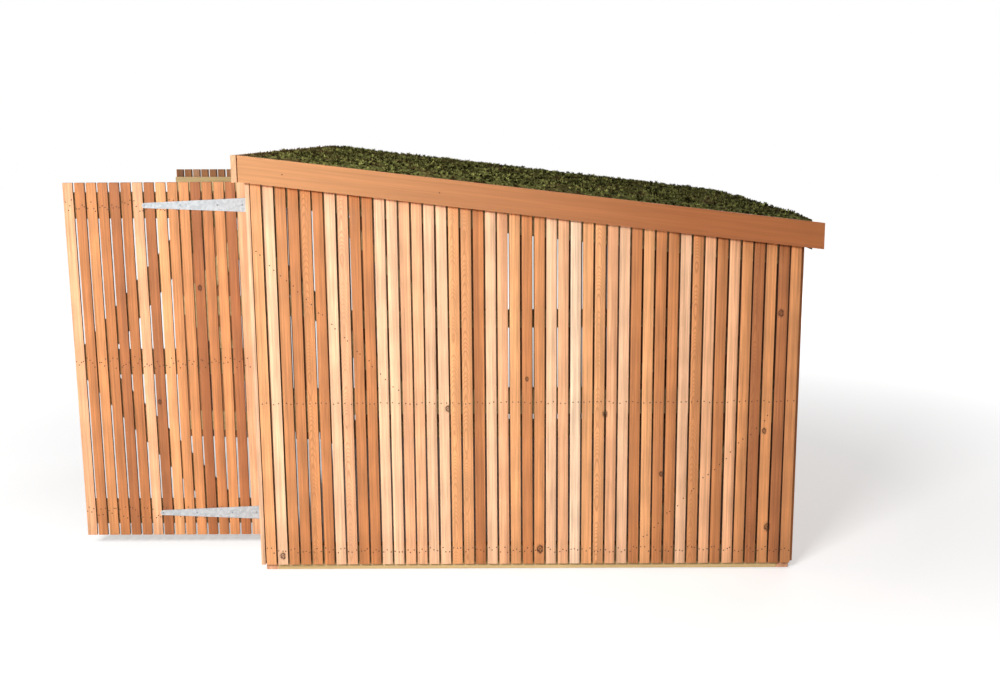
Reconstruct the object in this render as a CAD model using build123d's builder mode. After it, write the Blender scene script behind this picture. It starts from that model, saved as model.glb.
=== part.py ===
"""Bike shelter: slatted cedar walls on a treated timber frame, a planted roof that
falls to the rear, and a pair of ledged and braced doors that stand open at the front.

X runs from the doors to the rear, Y from the near side to the far side, Z up.
The origin is on the ground, in the middle of the plan with the doors open.
"""
import os
from math import cos, radians, sin, tan

from build123d import *

os.makedirs("parts", exist_ok=True)

# Cladding slats
slat_width = 39.0
slat_gap = 6.0
slat_thickness = 16.0
slat_eased_edge = 1.5
slat_ground_gap = 24.0
side_slat_count = 45
pier_slat_count = 6
door_slat_count = 17
corner_reveal = 3.0
rear_reveal = 14.0

# Frame
post_size = 45.0
timber_eased_edge = 2.0
rail_height = 95.0
rail_thickness = 45.0
mid_rail_level = 662.0
side_brace_width = 70.0
side_brace_angle = 46.0
upper_brace_drop = 145.0

# Roof
front_height = 1588.0
roof_pitch = 6.86
fascia_height = 96.0
fascia_thickness = 20.0
front_overhang = 38.0
rear_overhang = 75.0
fascia_corner_gap = 4.0
front_fascia_height = 98.0
deck_drop = 60.0
deck_thickness = 18.0
rafter_count = 3
rafter_width = 45.0
rafter_height = 70.0
liner_thickness = 3.0
liner_drop = 6.0
mat_rise = 11.0
mat_front_margin = 22.0
rear_fascia_drop = 20.0
drip_thickness = 3.0
drip_fall = 7.0

# Doors
door_gap = 6.0
door_head_gap = 9.5
door_bottom = 52.0
ledge_height = 102.0
ledge_thickness = 20.0
ledge_inset = 4.0
low_ledge_inset = 95.0
top_ledge_inset = 89.0
door_brace_width = 100.0
door_brace_run = 455.0
door_brace_inset = 18.0
near_door_open_angle = 90.0
far_door_open_angle = 97.0

# Tee hinges
knuckle_radius = 6.0
hinge_pin_radius = 3.0
pin_clearance = 0.3
knuckle_clearance = 0.5
hinge_edge = 2.0
strap_length = 457.0
strap_root_width = 58.0
strap_tip_width = 20.0
strap_thickness = 3.0
shoulder_clearance = 2.0
cross_plate_width = 42.0
cross_plate_height = 140.0
cross_plate_corner = 6.0

# Plan of the walls, worked out from the slats
slat_pitch = slat_width + slat_gap
side_length = side_slat_count * slat_pitch - slat_gap
pier_width = pier_slat_count * slat_pitch - slat_gap
door_width = door_slat_count * slat_pitch - slat_gap
front_width = 2 * pier_width + 2 * door_width + 3 * door_gap
half_width = front_width / 2

# Places along X, from the front to the rear
front_build_up = corner_reveal + slat_thickness + knuckle_radius + hinge_edge
overall_length = door_width + front_build_up + side_length + rear_overhang
door_reach_x = -overall_length / 2
cladding_front_x = door_reach_x + door_width + front_build_up
cladding_rear_x = cladding_front_x + side_length
frame_front_x = cladding_front_x - corner_reveal
front_face_x = frame_front_x - slat_thickness
rear_face_x = cladding_rear_x + rear_reveal
frame_rear_x = rear_face_x - slat_thickness
front_post_back_x = frame_front_x + post_size
rear_post_front_x = frame_rear_x - post_size
fascia_front_x = cladding_front_x - front_overhang
fascia_rear_x = cladding_rear_x + rear_overhang
roof_front_x = fascia_front_x - fascia_corner_gap
rear_fascia_back_x = rear_face_x + fascia_thickness
header_front_x = frame_front_x + door_gap
pin_x = front_face_x - knuckle_radius

# Places along Y on the near side, which the far side mirrors
frame_y = -half_width + slat_thickness
inner_y = frame_y + post_size
jamb_inner_y = -half_width + pier_width
jamb_outer_y = jamb_inner_y - post_size
pin_y = jamb_inner_y + door_gap - hinge_edge


def roof_level(x, drop=0):
    """Level of the line that runs parallel to the roof, plumb below the side fascia's top edge."""
    return front_height - (x - fascia_front_x) * tan(radians(roof_pitch)) - drop


# Levels
deck_underside_drop = deck_drop + deck_thickness
liner_top_drop = deck_drop - liner_thickness
mid_rail_bottom = mid_rail_level - rail_height / 2
mid_rail_top = mid_rail_level + rail_height / 2
front_fascia_bottom = roof_level(roof_front_x) - front_fascia_height
door_top = front_fascia_bottom - door_head_gap
low_ledge_level = door_bottom + low_ledge_inset
top_ledge_level = door_top - top_ledge_inset
mid_ledge_level = (low_ledge_level + top_ledge_level) / 2
header_bottom = top_ledge_level + ledge_height / 2 + door_gap


def sloped_top(x_from, x_to, bottom, drop):
    """Side view of a piece with a level bottom and a top cut to the roof's slope."""
    return [
        (x_from, bottom),
        (x_to, bottom),
        (x_to, roof_level(x_to, drop)),
        (x_from, roof_level(x_from, drop)),
    ]


def sloped_band(x_from, x_to, top_drop, bottom_drop):
    """Side view of a piece that follows the roof's slope, with plumb ends."""
    return [
        (x_from, roof_level(x_from, bottom_drop)),
        (x_to, roof_level(x_to, bottom_drop)),
        (x_to, roof_level(x_to, top_drop)),
        (x_from, roof_level(x_from, top_drop)),
    ]


def level_band(x_from, x_to, bottom, top):
    """Side view of a level piece with square ends."""
    return [(x_from, bottom), (x_to, bottom), (x_to, top), (x_from, top)]


def run_across(side_view, y_from, y_to, eased_edge=0.0):
    """A piece drawn in side view and run across the shelter from y_from to y_to."""
    with BuildPart() as piece:
        with BuildSketch(Plane.XZ.offset(-y_to)):
            with BuildLine():
                Polyline(*side_view, close=True)
            make_face()
        extrude(amount=y_to - y_from)
        if eased_edge:
            chamfer(piece.edges(), length=eased_edge)
    return piece


def slat_row(side_view, first_y, count):
    """Upright slats side by side across the shelter, all cut alike."""
    with BuildPart() as row:
        for number in range(count):
            with BuildSketch(Plane.XZ.offset(-(first_y + number * slat_pitch + slat_width))):
                with BuildLine():
                    Polyline(*side_view, close=True)
                make_face()
            extrude(amount=slat_width)
        chamfer(row.edges().filter_by(Axis.Z), length=slat_eased_edge)
    return row


def mirrored(piece):
    """The same piece on the far side."""
    with BuildPart() as twin:
        mirror(piece.part, about=Plane.XZ)
    return twin


def save(piece, name):
    """Label a finished piece and write it."""
    piece.part.label = name
    export_step(piece.part, f"parts/{name}.step")


def save_pair(piece, name):
    """Write a near-side piece and its twin on the far side."""
    save(piece, f"near_{name}")
    save(mirrored(piece), f"far_{name}")


# Corner posts stand on the ground and are cut to the roof's slope at the top.
front_post = run_across(
    sloped_top(frame_front_x, front_post_back_x, 0, deck_underside_drop),
    frame_y,
    inner_y,
    timber_eased_edge,
)
save_pair(front_post, "front_post")
rear_post = run_across(
    sloped_top(rear_post_front_x, frame_rear_x, 0, deck_underside_drop),
    frame_y,
    inner_y,
    timber_eased_edge,
)
save_pair(rear_post, "rear_post")

# Jamb posts carry the hinges' side of the doorway and stop under the header.
jamb_post = run_across(
    level_band(frame_front_x, front_post_back_x, 0, header_bottom),
    jamb_outer_y,
    jamb_inner_y,
    timber_eased_edge,
)
save_pair(jamb_post, "jamb_post")

# The header spans the doorway between the front posts, just behind the closed doors.
header = run_across(
    sloped_top(header_front_x, header_front_x + rail_thickness, header_bottom, deck_underside_drop),
    inner_y,
    -inner_y,
    timber_eased_edge,
)
save(header, "header")

# Side rails butt between the corner posts: at the ground, at mid height and under the roof.
side_rail_inner_y = frame_y + rail_thickness
base_rail = run_across(
    level_band(front_post_back_x, rear_post_front_x, 0, rail_height),
    frame_y,
    side_rail_inner_y,
    timber_eased_edge,
)
save_pair(base_rail, "base_rail")
mid_rail = run_across(
    level_band(front_post_back_x, rear_post_front_x, mid_rail_bottom, mid_rail_top),
    frame_y,
    side_rail_inner_y,
    timber_eased_edge,
)
save_pair(mid_rail, "mid_rail")
top_rail = run_across(
    sloped_band(
        front_post_back_x, rear_post_front_x, deck_underside_drop, deck_underside_drop + rail_height
    ),
    frame_y,
    side_rail_inner_y,
    timber_eased_edge,
)
save_pair(top_rail, "top_rail")

# Rear rails butt between the rear posts.
rear_rail_front_x = frame_rear_x - rail_thickness
rear_base_rail = run_across(
    level_band(rear_rail_front_x, frame_rear_x, 0, rail_height), inner_y, -inner_y, timber_eased_edge
)
save(rear_base_rail, "rear_base_rail")
rear_mid_rail = run_across(
    level_band(rear_rail_front_x, frame_rear_x, mid_rail_bottom, mid_rail_top),
    inner_y,
    -inner_y,
    timber_eased_edge,
)
save(rear_mid_rail, "rear_mid_rail")
rear_top_rail = run_across(
    sloped_band(
        rear_rail_front_x, frame_rear_x, deck_underside_drop, deck_underside_drop + rail_height
    ),
    inner_y,
    -inner_y,
    timber_eased_edge,
)
save(rear_top_rail, "rear_top_rail")

# Short rails fill each front pier between its corner post and its jamb post.
pier_rail_back_x = frame_front_x + rail_thickness
with BuildPart() as pier_rails:
    for rail_bottom in (0, mid_rail_bottom):
        with BuildSketch(Plane.XZ.offset(-jamb_outer_y)):
            with BuildLine():
                rail_top = rail_bottom + rail_height
                Polyline(
                    *level_band(frame_front_x, pier_rail_back_x, rail_bottom, rail_top), close=True
                )
            make_face()
        extrude(amount=jamb_outer_y - inner_y)
    chamfer(pier_rails.edges(), length=timber_eased_edge)
save_pair(pier_rails, "pier_rails")

# Side braces: one strut from the front post down to the mid rail,
# and one from the base rail up to the corner of the mid rail and the rear post.
brace_cut = side_brace_width / sin(radians(side_brace_angle))
brace_plumb_cut = side_brace_width / cos(radians(side_brace_angle))
top_rail_bottom = roof_level(front_post_back_x, deck_underside_drop + rail_height)
upper_brace_top = top_rail_bottom - upper_brace_drop
upper_brace_reach = (upper_brace_top - mid_rail_top) / tan(radians(side_brace_angle))
upper_brace = [
    (front_post_back_x, upper_brace_top - brace_plumb_cut),
    (front_post_back_x + upper_brace_reach - brace_cut, mid_rail_top),
    (front_post_back_x + upper_brace_reach, mid_rail_top),
    (front_post_back_x, upper_brace_top),
]
lower_brace_run = (mid_rail_bottom - rail_height) / tan(radians(side_brace_angle))
lower_brace = [
    (rear_post_front_x - lower_brace_run - brace_cut, rail_height),
    (rear_post_front_x - lower_brace_run, rail_height),
    (rear_post_front_x, mid_rail_bottom),
    (rear_post_front_x - brace_cut, mid_rail_bottom),
]
with BuildPart() as side_braces:
    for brace in (upper_brace, lower_brace):
        with BuildSketch(Plane.XZ.offset(-side_rail_inner_y)):
            with BuildLine():
                Polyline(*brace, close=True)
            make_face()
        extrude(amount=rail_thickness)
    chamfer(side_braces.edges(), length=timber_eased_edge)
save_pair(side_braces, "side_braces")

# Side cladding: one sheet outline with its gaps sawn out, so the slats' tops follow the roof.
with BuildPart() as side_slats:
    with BuildSketch(Plane.XZ.offset(-frame_y)):
        with BuildLine():
            Polyline(
                *sloped_top(cladding_front_x, cladding_rear_x, slat_ground_gap, deck_underside_drop),
                close=True,
            )
        make_face()
        gap_middle_x = (cladding_front_x + cladding_rear_x) / 2
        with Locations((gap_middle_x, front_height / 2)):
            with GridLocations(slat_pitch, front_height, side_slat_count - 1, 1):
                Rectangle(slat_gap, 2 * front_height, mode=Mode.SUBTRACT)
    extrude(amount=slat_thickness)
    chamfer(side_slats.edges().filter_by(Axis.Z), length=slat_eased_edge)
save_pair(side_slats, "side_slats")

# Rear cladding fits between the side slats.
rear_slat_count = int((front_width - 2 * slat_thickness + slat_gap) // slat_pitch)
rear_slats = slat_row(
    sloped_top(frame_rear_x, rear_face_x, slat_ground_gap, deck_underside_drop),
    -(rear_slat_count * slat_pitch - slat_gap) / 2,
    rear_slat_count,
)
save(rear_slats, "rear_slats")

# Front piers: a few slats each side of the doorway, lapping the ends of the side cladding.
pier_slats = slat_row(
    sloped_top(front_face_x, frame_front_x, slat_ground_gap, deck_underside_drop),
    -half_width,
    pier_slat_count,
)
save_pair(pier_slats, "pier_slats")

# Rafters span between the side top rails, evenly spaced between the header and the rear rail.
rafter_zone_front_x = header_front_x + rail_thickness
rafter_step = (rear_rail_front_x - rafter_zone_front_x) / (rafter_count + 1)
with BuildPart() as rafters:
    for number in range(rafter_count):
        rafter_x = rafter_zone_front_x + (number + 1) * rafter_step - rafter_width / 2
        with BuildSketch(Plane.XZ.offset(side_rail_inner_y)):
            with BuildLine():
                Polyline(
                    *sloped_band(
                        rafter_x,
                        rafter_x + rafter_width,
                        deck_underside_drop,
                        deck_underside_drop + rafter_height,
                    ),
                    close=True,
                )
            make_face()
        extrude(amount=-2 * side_rail_inner_y)
    chamfer(rafters.edges(), length=timber_eased_edge)
save(rafters, "rafters")

# Roof deck: a sheet over the rafters and wall tops, out to the fascias.
roof_deck = run_across(
    sloped_band(roof_front_x, rear_face_x, deck_drop, deck_underside_drop), -half_width, half_width
)
save(roof_deck, "roof_deck")

# Fascias: side boards with plumb ends, a front board across them, a lower rear board between them.
side_fascia = run_across(
    sloped_band(fascia_front_x, fascia_rear_x, 0, fascia_height),
    -half_width - fascia_thickness,
    -half_width,
)
save_pair(side_fascia, "fascia")
front_fascia = run_across(
    level_band(
        roof_front_x - fascia_thickness, roof_front_x, front_fascia_bottom, roof_level(roof_front_x)
    ),
    -half_width - fascia_thickness,
    half_width + fascia_thickness,
)
save(front_fascia, "front_fascia")
rear_fascia = run_across(
    sloped_band(rear_face_x, rear_fascia_back_x, rear_fascia_drop, fascia_height),
    -half_width,
    half_width,
)
save(rear_fascia, "rear_fascia")

# Waterproof liner: a shallow tray on the deck, turned up behind the front and side fascias.
with BuildPart() as roof_liner:
    with BuildSketch(Plane.XZ.offset(-half_width)):
        with BuildLine():
            Polyline(*sloped_band(roof_front_x, rear_face_x, liner_drop, deck_drop), close=True)
        make_face()
    extrude(amount=front_width)
    with BuildSketch(Plane.XZ.offset(-half_width + liner_thickness)):
        with BuildLine():
            Polyline(
                *sloped_band(roof_front_x + liner_thickness, rear_fascia_back_x, 0, liner_top_drop),
                close=True,
            )
        make_face()
    extrude(amount=front_width - 2 * liner_thickness, mode=Mode.SUBTRACT)
save(roof_liner, "roof_liner")

# Drip edge: a folded strip over the rear board that hangs just below it.
drip_back_x = rear_fascia_back_x + drip_thickness
drip_foot_drop = fascia_height + drip_fall
drip_top_drop = rear_fascia_drop - drip_thickness
rear_drip_edge = run_across(
    [
        (rear_face_x, roof_level(rear_face_x, rear_fascia_drop)),
        (rear_fascia_back_x, roof_level(rear_fascia_back_x, rear_fascia_drop)),
        (rear_fascia_back_x, roof_level(rear_fascia_back_x, drip_foot_drop)),
        (drip_back_x, roof_level(rear_fascia_back_x, drip_foot_drop)),
        (drip_back_x, roof_level(drip_back_x, drip_top_drop)),
        (rear_face_x, roof_level(rear_face_x, drip_top_drop)),
    ],
    -half_width,
    half_width,
)
save(rear_drip_edge, "rear_drip_edge")

# Planted mat: it fills the liner, stands a little above the fascias and laps the rear board.
mat_front_x = roof_front_x + liner_thickness + mat_front_margin
mat_half_width = half_width - liner_thickness
planted_mat = run_across(
    [
        (mat_front_x, roof_level(mat_front_x, liner_top_drop)),
        (rear_face_x, roof_level(rear_face_x, liner_top_drop)),
        (rear_face_x, roof_level(rear_face_x, drip_top_drop)),
        (rear_fascia_back_x, roof_level(rear_fascia_back_x, drip_top_drop)),
        (rear_fascia_back_x, roof_level(rear_fascia_back_x, -mat_rise)),
        (mat_front_x, roof_level(mat_front_x, -mat_rise)),
    ],
    -mat_half_width,
    mat_half_width,
)
save(planted_mat, "planted_mat")

# Depths in a door, from the plane through its hinge pin towards its inner face
strap_depth = knuckle_radius - strap_thickness
slat_back_depth = knuckle_radius + slat_thickness
knuckle_length = strap_root_width / 3
shoulder_reach = knuckle_radius + shoulder_clearance
hinge_levels = (low_ledge_level, top_ledge_level)


def door_plane(hand, open_angle):
    """The upright plane through a hinge pin, along the door: hand 1 is the near door, -1 the far one."""
    turn = radians(open_angle)
    along = Vector(-sin(turn), hand * cos(turn), 0)
    inward = Vector(cos(turn), hand * sin(turn), 0)
    return Plane(origin=(pin_x, hand * pin_y, 0), x_dir=along * hand, z_dir=inward)


def door_slats(hand, plane):
    """Upright boards of a door."""
    middle = hand * (hinge_edge + door_width / 2)
    with BuildPart() as boards:
        with BuildSketch(plane.offset(knuckle_radius)):
            with Locations((middle, (door_bottom + door_top) / 2)):
                with GridLocations(slat_pitch, slat_pitch, door_slat_count, 1):
                    Rectangle(slat_width, door_top - door_bottom)
        extrude(amount=slat_thickness)
        chamfer(boards.edges().filter_by(Axis.Z), length=slat_eased_edge)
    return boards


def door_ledges(hand, plane):
    """Three flat rails across the inner face of a door."""
    middle = hand * (hinge_edge + door_width / 2)
    levels = (low_ledge_level, mid_ledge_level, top_ledge_level)
    with BuildPart() as ledges:
        with BuildSketch(plane.offset(slat_back_depth)):
            with Locations(*[(middle, level) for level in levels]):
                Rectangle(door_width - 2 * ledge_inset, ledge_height)
        extrude(amount=ledge_thickness)
        chamfer(ledges.edges(), length=timber_eased_edge)
    return ledges


def door_braces(hand, plane):
    """Two struts that rise and fall from the free end of the mid ledge to the hinge side."""
    half_ledge = ledge_height / 2
    free_edge = hinge_edge + door_width - door_brace_inset
    with BuildPart() as braces:
        with BuildSketch(plane.offset(slat_back_depth)):
            for start, end in (
                (mid_ledge_level + half_ledge, top_ledge_level - half_ledge),
                (mid_ledge_level - half_ledge, low_ledge_level + half_ledge),
            ):
                run = Vector(door_brace_run, end - start)
                level_cut = door_brace_width * run.length / abs(end - start)
                with BuildLine():
                    Polyline(
                        (hand * free_edge, start),
                        (hand * (free_edge - level_cut), start),
                        (hand * (free_edge - level_cut - door_brace_run), end),
                        (hand * (free_edge - door_brace_run), end),
                        close=True,
                    )
                make_face()
        extrude(amount=ledge_thickness)
        chamfer(braces.edges(), length=timber_eased_edge)
    return braces


def door_straps(hand, plane):
    """Tapered straps with a round tip, each rolled into one knuckle round its pin."""
    half_knuckle = knuckle_length / 2 - knuckle_clearance
    half_root = strap_root_width / 2
    half_tip = strap_tip_width / 2
    shoulder = hand * shoulder_reach
    tip_start = hand * (strap_length - half_tip)
    with BuildPart() as straps:
        for level in hinge_levels:
            with BuildSketch(plane.offset(strap_depth)):
                with BuildLine():
                    Polyline(
                        (tip_start, level + half_tip),
                        (shoulder, level + half_root),
                        (shoulder, level + half_knuckle),
                        (0, level + half_knuckle),
                        (0, level - half_knuckle),
                        (shoulder, level - half_knuckle),
                        (shoulder, level - half_root),
                        (tip_start, level - half_tip),
                    )
                    ThreePointArc(
                        (tip_start, level - half_tip),
                        (hand * strap_length, level),
                        (tip_start, level + half_tip),
                    )
                make_face()
            extrude(amount=strap_thickness)
            with BuildSketch(Plane((pin_x, hand * pin_y, level - half_knuckle))):
                Circle(knuckle_radius)
            extrude(amount=2 * half_knuckle)
            with BuildSketch(Plane((pin_x, hand * pin_y, level - half_knuckle))):
                Circle(hinge_pin_radius + pin_clearance)
            extrude(amount=2 * half_knuckle, mode=Mode.SUBTRACT)
    return straps


def hinge_plates(hand):
    """Cross plates on the pier, each with two knuckles and the pin between them."""
    plane = door_plane(hand, 0)
    plate_middle = -hand * (shoulder_reach + cross_plate_width / 2)
    with BuildPart() as plates:
        for level in hinge_levels:
            with BuildSketch(plane.offset(strap_depth)):
                with Locations((plate_middle, level)):
                    RectangleRounded(cross_plate_width, cross_plate_height, cross_plate_corner)
                with Locations(
                    (-hand * shoulder_reach / 2, level + knuckle_length),
                    (-hand * shoulder_reach / 2, level - knuckle_length),
                ):
                    Rectangle(shoulder_reach, knuckle_length)
            extrude(amount=strap_thickness)
            for knuckle_level in (level - knuckle_length, level + knuckle_length):
                with BuildSketch(Plane((pin_x, hand * pin_y, knuckle_level - knuckle_length / 2))):
                    Circle(knuckle_radius)
                extrude(amount=knuckle_length)
            with BuildSketch(Plane((pin_x, hand * pin_y, level - knuckle_length))):
                Circle(hinge_pin_radius)
            extrude(amount=2 * knuckle_length)
    return plates


# The doors stand open: the near one square to the front, the far one a little further.
for side, hand, open_angle in (
    ("near", 1, near_door_open_angle),
    ("far", -1, far_door_open_angle),
):
    plane = door_plane(hand, open_angle)
    save(door_slats(hand, plane), f"{side}_door_slats")
    save(door_ledges(hand, plane), f"{side}_door_ledges")
    save(door_braces(hand, plane), f"{side}_door_braces")
    save(door_straps(hand, plane), f"{side}_door_straps")
    save(hinge_plates(hand), f"{side}_hinge_plates")
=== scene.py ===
import random
from math import cos, pi, radians, sin, tan

import bpy
from mathutils import Matrix, Vector


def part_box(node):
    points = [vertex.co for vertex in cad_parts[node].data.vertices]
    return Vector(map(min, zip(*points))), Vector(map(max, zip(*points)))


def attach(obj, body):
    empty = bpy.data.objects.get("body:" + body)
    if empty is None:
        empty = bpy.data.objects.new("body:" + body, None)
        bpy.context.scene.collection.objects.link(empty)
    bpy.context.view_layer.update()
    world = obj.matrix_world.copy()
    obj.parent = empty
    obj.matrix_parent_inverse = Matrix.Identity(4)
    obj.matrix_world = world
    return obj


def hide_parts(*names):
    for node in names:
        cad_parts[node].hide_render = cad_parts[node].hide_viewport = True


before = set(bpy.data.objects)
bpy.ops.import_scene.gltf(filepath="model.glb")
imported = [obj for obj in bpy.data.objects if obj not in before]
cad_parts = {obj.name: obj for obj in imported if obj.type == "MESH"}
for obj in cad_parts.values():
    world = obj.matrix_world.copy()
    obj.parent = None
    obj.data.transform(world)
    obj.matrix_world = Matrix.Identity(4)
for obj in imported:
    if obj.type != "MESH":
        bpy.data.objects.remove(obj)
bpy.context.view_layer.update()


# Treated frame: square-sawn softwood posts, rails, braces and rafters, pressure treated to a
# green-yellow and nailed up. It shows along the ground, on the doors' backs and all over the inside.
treated_light = (234, 204, 150)
treated_dark = (204, 170, 114)
treated_ring = (164, 126, 76)
ring_share = 0.35
timber_fibre = (0.88, 1.06)
timber_roughness = (0.58, 0.78)
timber_relief = (0.25, 0.0006)
wood_gloss = 0.3
streak_scale = 62.0
fibre_scale = 150.0
ring_scale = 42.0
grain_stretch = 48.0


def screen_colour(colour):
    """Linear colour with alpha from an 8-bit screen colour."""
    return (*[((c / 255 + 0.055) / 1.055) ** 2.4 for c in colour], 1.0)


def put(tree, kind, values=(), **settings):
    """One node: plain values are set on its sockets, and sockets are linked to them."""
    node = tree.nodes.new(kind)
    for name, value in settings.items():
        setattr(node, name, value)
    for socket, value in dict(values).items():
        if isinstance(value, bpy.types.NodeSocket):
            tree.links.new(value, node.inputs[socket])
        else:
            node.inputs[socket].default_value = value
    return node


def calc(tree, operation, first, second=0.0):
    """Socket of a sum on one or two values."""
    return put(tree, "ShaderNodeMath", {0: first, 1: second}, operation=operation).outputs[0]


def mix_colours(tree, factor, first, second, mode="MIX"):
    """Socket of the second colour laid over the first."""
    values = {0: factor, 6: first, 7: second}
    return put(tree, "ShaderNodeMix", values, data_type="RGBA", blend_type=mode).outputs[2]


def remap(tree, value, low, high, to_low=0.0, to_high=1.0):
    """Socket of a value stretched from one range to another."""
    values = {"Value": value, "From Min": low, "From Max": high, "To Min": to_low, "To Max": to_high}
    return put(tree, "ShaderNodeMapRange", values).outputs[0]


def spread(tree, noise, low=0.0, high=1.0):
    """Socket of a noise stretched from the span that it mostly keeps to, to a range."""
    return remap(tree, noise, 0.3, 0.7, low, high)


def build_grain_group():
    """Sawn grain on a vector whose X runs along the board: broad streaks, fine fibres and ring lines."""
    group = bpy.data.node_groups.new("sawn grain", "ShaderNodeTree")
    group.interface.new_socket("Vector", in_out="INPUT", socket_type="NodeSocketVector")
    group.interface.new_socket("Seed", in_out="INPUT", socket_type="NodeSocketFloat")
    for name in ("Streaks", "Fibres", "Rings"):
        group.interface.new_socket(name, in_out="OUTPUT", socket_type="NodeSocketFloat")
    given = put(group, "NodeGroupInput")
    shift = put(group, "ShaderNodeCombineXYZ", {0: given.outputs["Seed"], 1: given.outputs["Seed"]})
    place = put(group, "ShaderNodeVectorMath", {0: given.outputs["Vector"], 1: shift.outputs[0]})
    vector = place.outputs[0]
    rough = {"Vector": vector, "Detail": 3.0, "Roughness": 0.65}
    streaks = put(group, "ShaderNodeTexNoise", {**rough, "Scale": streak_scale})
    fibres = put(group, "ShaderNodeTexNoise", {**rough, "Scale": fibre_scale})
    waves = {"Vector": vector, "Scale": ring_scale, "Distortion": 5.0, "Detail": 2.0, "Detail Scale": 0.4}
    rings = put(group, "ShaderNodeTexWave", waves, bands_direction="Y")
    line = remap(group, rings.outputs["Fac"], 0.55, 1.0)
    taken = put(group, "NodeGroupOutput")
    group.links.new(streaks.outputs["Fac"], taken.inputs["Streaks"])
    group.links.new(fibres.outputs["Fac"], taken.inputs["Fibres"])
    group.links.new(line, taken.inputs["Rings"])
    return group


grain_group = build_grain_group()


def start_material(name):
    """A new node material with its shader and object coordinates."""
    material = bpy.data.materials.new(name)
    material.use_nodes = True
    tree = material.node_tree
    shader = tree.nodes["Principled BSDF"]
    coordinates = put(tree, "ShaderNodeTexCoord").outputs["Object"]
    return material, tree, shader, coordinates


def add_grain(tree, coordinates, turn, seed):
    """The grain group laid along a piece: turn takes X to the piece's length."""
    place = {"Vector": coordinates, "Rotation": turn, "Scale": (grain_stretch, 1, 1)}
    along = put(tree, "ShaderNodeMapping", place, vector_type="TEXTURE").outputs[0]
    return put(tree, "ShaderNodeGroup", {"Vector": along, "Seed": seed}, node_tree=grain_group)


def finish_wood(tree, shader, colour, fibres, roughness, relief):
    """Colour, roughness and relief of a wood, the last two from its fibres."""
    tree.links.new(colour, shader.inputs["Base Color"])
    tree.links.new(remap(tree, fibres, 0.2, 0.8, *roughness), shader.inputs["Roughness"])
    shader.inputs["Specular IOR Level"].default_value = wood_gloss
    strength, depth = relief
    bump = put(tree, "ShaderNodeBump", {"Height": fibres, "Strength": strength, "Distance": depth})
    tree.links.new(bump.outputs[0], shader.inputs["Normal"])


def timber_material(name, light, dark, ring, turn, seed, fold=0.0):
    """Bare sawn timber in two tones with ring lines, mirrored about a level where braces meet."""
    material, tree, shader, coordinates = start_material(name)
    x, y, z = put(tree, "ShaderNodeSeparateXYZ", {0: coordinates}).outputs
    folded = calc(tree, "ABSOLUTE", calc(tree, "SUBTRACT", z, fold))
    place = put(tree, "ShaderNodeCombineXYZ", {0: x, 1: y, 2: folded}).outputs[0]
    grain = add_grain(tree, place, turn, seed).outputs
    streak = spread(tree, grain["Streaks"])
    colour = mix_colours(tree, streak, screen_colour(dark), screen_colour(light))
    lines = calc(tree, "MULTIPLY", grain["Rings"], ring_share)
    colour = mix_colours(tree, lines, colour, screen_colour(ring))
    fibre = spread(tree, grain["Fibres"], *timber_fibre)
    colour = mix_colours(tree, 1.0, colour, fibre, "MULTIPLY")
    finish_wood(tree, shader, colour, grain["Fibres"], timber_roughness, timber_relief)
    return material


def treated_material(name, turn, seed, fold=0.0):
    """Treated softwood with its grain along the given turn."""
    return timber_material(name, treated_light, treated_dark, treated_ring, turn, seed, fold)


def middle_level(node):
    """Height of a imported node's middle."""
    low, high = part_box(node)
    return (low.z + high.z) / 2


def dress(nodes, material):
    """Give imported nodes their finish."""
    for node in nodes:
        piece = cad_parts[node]
        piece.data.materials.clear()
        piece.data.materials.append(material)


lengthwise = (0, 0, 0)
crosswise = (0, 0, radians(90))
upright = (0, radians(90), 0)
roof_pitch = radians(6.86)
brace_angle = radians(46)
sides = ("near", "far")
side_rails = [f"{side}_{rail}" for side in sides for rail in ("base_rail", "mid_rail")]
cross_rails = ["rear_base_rail", "rear_mid_rail", "rear_top_rail", "header", "rafters"]
dress(side_rails, treated_material("treated side rails", lengthwise, 0.4))
roof_fall = (0, roof_pitch, 0)
dress(["near_top_rail", "far_top_rail"], treated_material("treated top rails", roof_fall, 1.1))
dress(cross_rails, treated_material("treated cross rails", crosswise, 2.3))
dress(["near_pier_rails", "far_pier_rails"], treated_material("treated pier rails", crosswise, 3.1))
dress(["near_jamb_post", "far_jamb_post"], treated_material("treated jambs", upright, 3.7))
brace_fold = middle_level("near_mid_rail")
side_braces = ["near_side_braces", "far_side_braces"]
dress(side_braces, treated_material("treated braces", (0, brace_angle, 0), 5.2, brace_fold))

# Corner posts: planed red cedar, one at each corner, standing on the ground with their feet just
# showing below the cladding.
post_light = (244, 192, 154)
post_dark = (214, 150, 110)
post_ring = (176, 110, 74)
corner_posts = [f"{side}_{end}_post" for side in sides for end in ("front", "rear")]
dress(corner_posts, timber_material("cedar posts", post_light, post_dark, post_ring, upright, 6.1))

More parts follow.
